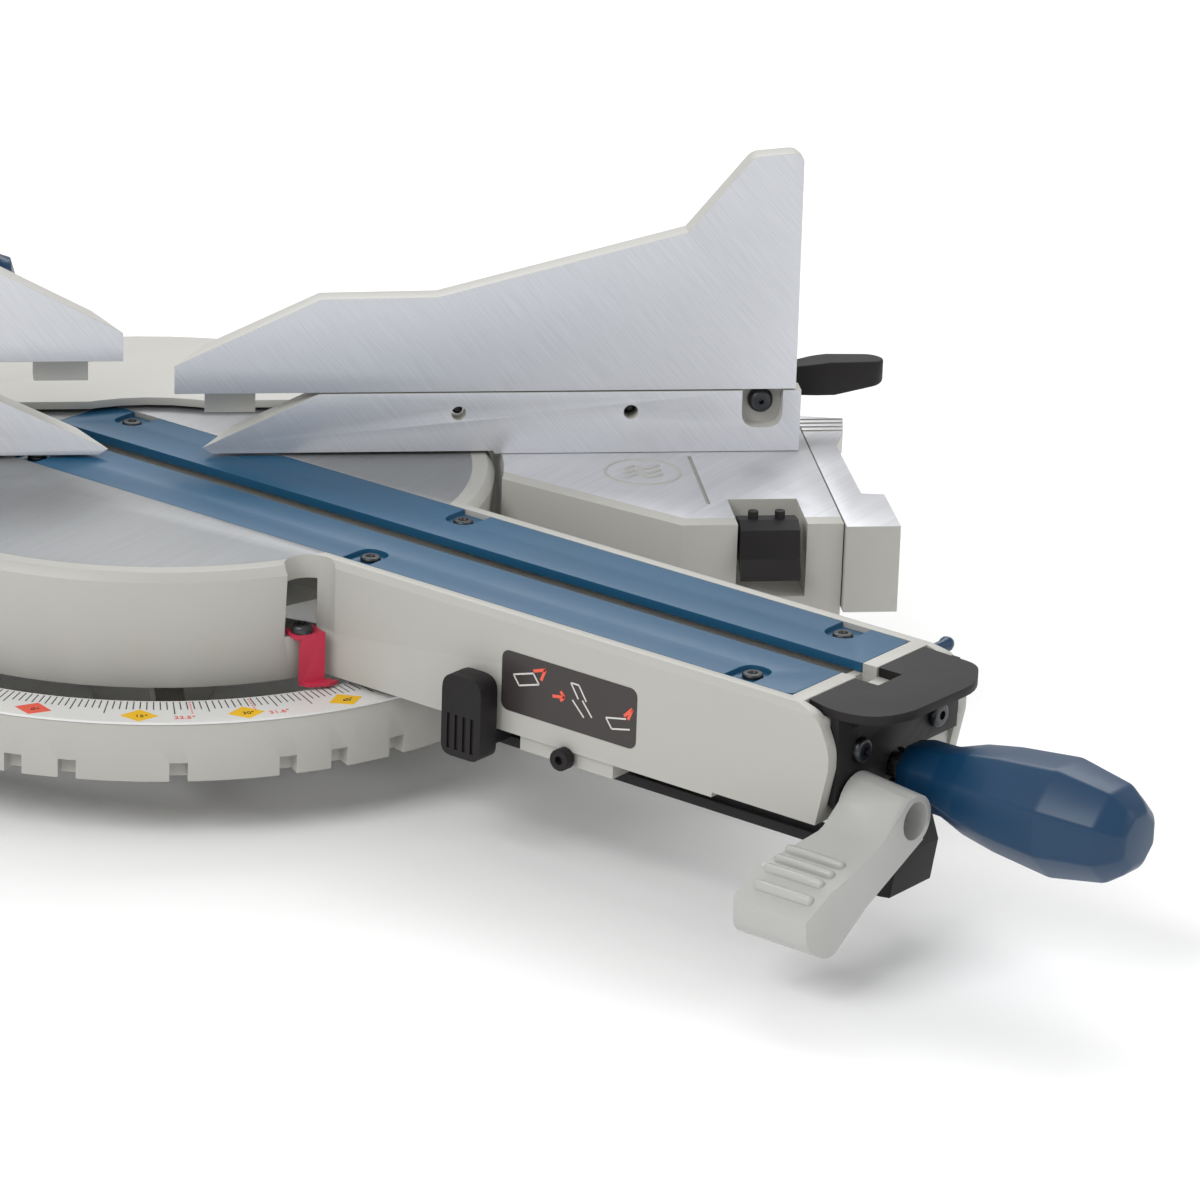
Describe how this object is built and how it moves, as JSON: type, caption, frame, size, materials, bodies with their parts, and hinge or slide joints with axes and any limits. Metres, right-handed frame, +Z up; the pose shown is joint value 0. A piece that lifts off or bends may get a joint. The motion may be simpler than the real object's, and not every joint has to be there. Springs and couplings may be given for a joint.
{
  "type": "compound mitre saw",
  "caption": "Bench-top compound mitre saw with sliding fences, a long slotted mitre arm set 45 degrees to the right, and a bevelling saw head raised to its stop.",
  "frame": {"origin": "on the bench plane under the mitre pivot, at the middle of the pivot boss's foot", "axes": "+X to the operator's right along the fence, +Y to the rear, +Z up; the arm rests turned 45 degrees to the right"},
  "size_m": [0.6774, 0.5935, 0.7722],
  "materials": {
    "cast_paint": "satin light warm grey paint on an aluminium casting",
    "machined_aluminium": "milled and brushed aluminium",
    "steel": "bright turned steel",
    "black_plastic": "fine-textured black glass-filled nylon",
    "blue_plastic": "moulded blue plastic",
    "knob_blue": "smooth dark blue plastic",
    "lever_grey": "light grey enamel on a die casting",
    "red_plastic": "red plastic",
    "scale_plate": "white enamelled steel",
    "rubber": "black rubber"
  },
  "bodies": {
    "base": {"base_casting": "cast_paint", "mitre_scale": "scale_plate", "fence_casting": "machined_aluminium", "fence_screw_right": "steel", "fence_screw_left": "steel"},
    "extension_right": {"extension_right": "machined_aluminium"},
    "extension_left": {"extension_left": "machined_aluminium"},
    "extension_lock_right": {"extension_lock_right": "black_plastic"},
    "extension_lock_left": {"extension_lock_left": "black_plastic"},
    "sliding_fence_right": {"sliding_fence_right": "machined_aluminium"},
    "sliding_fence_left": {"sliding_fence_left": "machined_aluminium", "fence_knob_left": "knob_blue"},
    "fence_lever_right": {"fence_lever_right": "black_plastic"},
    "fence_lever_left": {"fence_lever_left": "black_plastic"},
    "table": {"turntable": "cast_paint", "pivot_bolt": "steel", "pivot_washer": "steel", "kerf_insert_right": "blue_plastic", "kerf_insert_left": "blue_plastic", "insert_screw_right_1": "steel", "insert_screw_right_2": "steel", "insert_screw_right_3": "steel", "insert_screw_left_1": "steel", "insert_screw_left_2": "steel", "insert_screw_left_3": "steel", "front_cap": "black_plastic", "stop_screw": "black_plastic", "mitre_pointer": "red_plastic", "bevel_bolt": "steel", "mitre_clamp_shoe": "steel"},
    "mitre_knob": {"mitre_lock_knob": "knob_blue", "mitre_lock_rod": "steel"},
    "bevel_lever": {"bevel_lock_lever": "lever_grey", "bevel_lock_rod": "steel"},
    "detent_lever": {"detent_lever": "black_plastic"},
    "detent_pad": {"detent_pad": "black_plastic"},
    "range_pin": {"bevel_range_pin": "knob_blue"},
    "yoke": {"bevel_yoke": "cast_paint", "hinge_pin": "steel"},
    "lockdown": {"lockdown_pin": "knob_blue"},
    "head": {"head_casting": "cast_paint", "return_spring": "steel", "drive_housing": "cast_paint", "drive_belt": "rubber", "motor_housing": "black_plastic", "motor_end_cap": "black_plastic", "motor_stator": "steel", "cord_gland": "rubber", "main_handle": "black_plastic", "carry_handle": "black_plastic", "dust_port": "black_plastic"},
    "blade": {"saw_blade": "steel", "arbor_shaft": "steel", "outer_flange": "steel", "arbor_bolt": "steel", "arbor_pulley": "steel"},
    "armature": {"motor_armature": "steel"},
    "lower_guard": {"lower_guard": "black_plastic"},
    "trigger": {"trigger": "knob_blue"},
    "lock_off": {"lock_off_button": "knob_blue"}
  },
  "joints": [
    {"name": "mitre_turn", "type": "hinge", "parent": "base", "child": "table", "pos_m": [0, 0, 0.105], "axis": [0, 0, 1], "range_deg": [-93, 7]},
    {"name": "bevel_tilt", "type": "hinge", "parent": "table", "child": "yoke", "pos_m": [-0.11879, 0.11879, 0.105], "axis": [-0.7071, 0.7071, 0], "range_deg": [-46, 46]},
    {"name": "chop", "type": "hinge", "parent": "yoke", "child": "head", "pos_m": [-0.15203, 0.15203, 0.305], "axis": [-0.7071, -0.7071, 0], "range_deg": [-57, 0], "stiffness_Nm_per_rad": 14, "springref_deg": 91.67},
    {"name": "blade_spin", "type": "hinge", "parent": "head", "child": "blade", "pos_m": [-0.02031, 0.02031, 0.47616], "axis": [0.7071, 0.7071, 0], "continuous": true},
    {"name": "armature_spin", "type": "hinge", "parent": "head", "child": "armature", "pos_m": [-0.02497, 0.15225, 0.48166], "axis": [0.7071, 0.7071, 0], "continuous": true},
    {"name": "lower_guard_turn", "type": "hinge", "parent": "head", "child": "lower_guard", "pos_m": [-0.02031, 0.02031, 0.47616], "axis": [-0.7071, -0.7071, 0], "range_deg": [0, 125]},
    {"name": "trigger_pull", "type": "slide", "parent": "head", "child": "trigger", "axis": [0.3851, -0.3851, 0.8387], "range_m": [0, 0.006], "stiffness_N_per_m": 600, "springref_m": -0.003},
    {"name": "lock_off_press", "type": "slide", "parent": "head", "child": "lock_off", "axis": [0.7071, 0.7071, 0], "range_m": [0, 0.003], "stiffness_N_per_m": 600, "springref_m": -0.002},
    {"name": "lockdown_slide", "type": "slide", "parent": "yoke", "child": "lockdown", "axis": [0.7071, 0.7071, 0], "range_m": [0, 0.012]},
    {"name": "mitre_lock_turn", "type": "hinge", "parent": "table", "child": "mitre_knob", "pos_m": [0.28284, -0.28284, 0.0703], "axis": [0.7071, -0.7071, 0], "range_deg": [0, 180]},
    {"name": "bevel_lock_swing", "type": "hinge", "parent": "table", "child": "bevel_lever", "pos_m": [0.2634, -0.30229, 0.063], "axis": [0.7071, -0.7071, 0], "range_deg": [-50, 0]},
    {"name": "detent_press", "type": "hinge", "parent": "table", "child": "detent_lever", "pos_m": [0.21213, -0.21213, 0.047], "axis": [0.7071, 0.7071, 0], "range_deg": [-3, 0], "stiffness_Nm_per_rad": 8, "springref_deg": 4.58},
    {"name": "detent_pad_press", "type": "slide", "parent": "table", "child": "detent_pad", "axis": [0.7071, 0.7071, 0], "range_m": [0, 0.003], "stiffness_N_per_m": 600, "springref_m": -0.002},
    {"name": "range_pin_slide", "type": "slide", "parent": "table", "child": "range_pin", "axis": [0.7071, 0.7071, 0], "range_m": [-0.005, 0]},
    {"name": "fence_right_slide", "type": "slide", "parent": "base", "child": "sliding_fence_right", "axis": [-1, 0, 0], "range_m": [-0.13, 0]},
    {"name": "fence_left_slide", "type": "slide", "parent": "base", "child": "sliding_fence_left", "axis": [1, 0, 0], "range_m": [-0.13, 0]},
    {"name": "fence_lever_right_turn", "type": "hinge", "parent": "base", "child": "fence_lever_right", "pos_m": [0.28, 0.03, 0.129], "axis": [1, 0, 0], "range_deg": [0, 60]},
    {"name": "fence_lever_left_turn", "type": "hinge", "parent": "base", "child": "fence_lever_left", "pos_m": [-0.28, 0.03, 0.129], "axis": [1, 0, 0], "range_deg": [0, 60]},
    {"name": "extension_right_slide", "type": "slide", "parent": "base", "child": "extension_right", "axis": [1, 0, 0], "range_m": [0, 0.085]},
    {"name": "extension_left_slide", "type": "slide", "parent": "base", "child": "extension_left", "axis": [-1, 0, 0], "range_m": [0, 0.085]},
    {"name": "extension_lock_right_turn", "type": "hinge", "parent": "base", "child": "extension_lock_right", "pos_m": [0.25, -0.082, 0.1], "axis": [-1, 0, 0], "range_deg": [0, 45]},
    {"name": "extension_lock_left_turn", "type": "hinge", "parent": "base", "child": "extension_lock_left", "pos_m": [-0.25, -0.082, 0.1], "axis": [-1, 0, 0], "range_deg": [0, 45]}
  ],
  "couplings": [
    {"joint": "lower_guard_turn", "follows": "chop", "ratio": -2.19},
    {"joint": "armature_spin", "follows": "blade_spin", "ratio": 2.3077}
  ]
}
